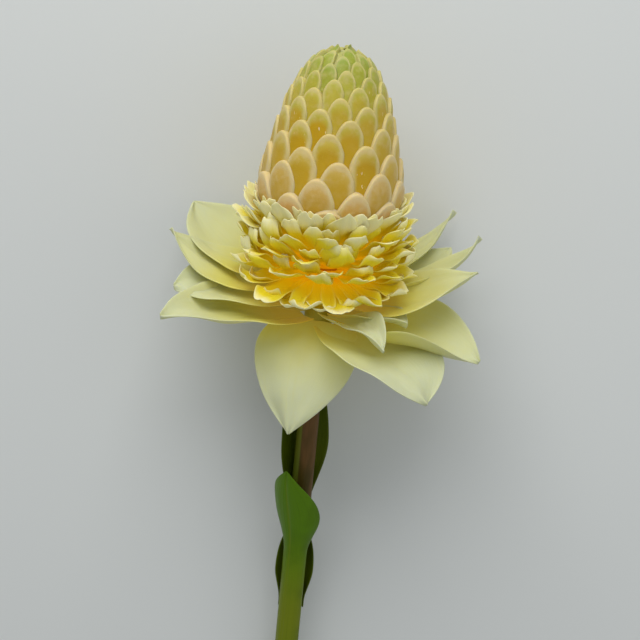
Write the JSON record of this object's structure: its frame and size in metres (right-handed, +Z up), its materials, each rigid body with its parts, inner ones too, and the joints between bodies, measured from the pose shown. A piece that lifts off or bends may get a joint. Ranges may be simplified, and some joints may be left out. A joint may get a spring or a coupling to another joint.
{
  "type": "torch ginger flower",
  "caption": "Cut torch ginger flower: a cone of arched scales over a ruffle of small petals and a skirt of large bracts, on a stem with clasping leaves.",
  "frame": {"origin": "bottom centre of the lying flower's footprint, on the table", "axes": "+Y along the stalk towards the tip of the cone, +Z up, +X to the right seen from above with the cone away from the viewer"},
  "size_m": [0.1812, 0.4346, 0.1163],
  "materials": {
    "cone_scales": "satin",
    "ruffle_petals": "matte",
    "bract_petals": "satin",
    "leaf_light": "satin",
    "leaf_dark": "satin",
    "stem_skin": "satin"
  },
  "bodies": {
    "root": {"cone": "cone_scales", "ruffle_row_1": "ruffle_petals", "ruffle_row_2": "ruffle_petals", "ruffle_row_3": "ruffle_petals", "ruffle_row_4": "ruffle_petals", "ruffle_row_5": "ruffle_petals", "bract_front": "bract_petals", "bract_front_right": "bract_petals", "bract_right_low": "bract_petals", "bract_right_inner": "bract_petals", "bract_front_inner": "bract_petals", "bract_right": "bract_petals", "bract_right_upper": "bract_petals", "bract_back_right_low": "bract_petals", "bract_back_right": "bract_petals", "bract_under_right": "bract_petals", "bract_under_left": "bract_petals", "bract_back_left": "bract_petals", "bract_back_left_low": "bract_petals", "bract_left": "bract_petals", "bract_left_low": "bract_petals", "bract_front_left": "bract_petals", "leaf_front": "leaf_light", "leaf_back_upper": "leaf_dark", "leaf_back_lower": "leaf_dark", "stem": "stem_skin"}
  },
  "joints": []
}
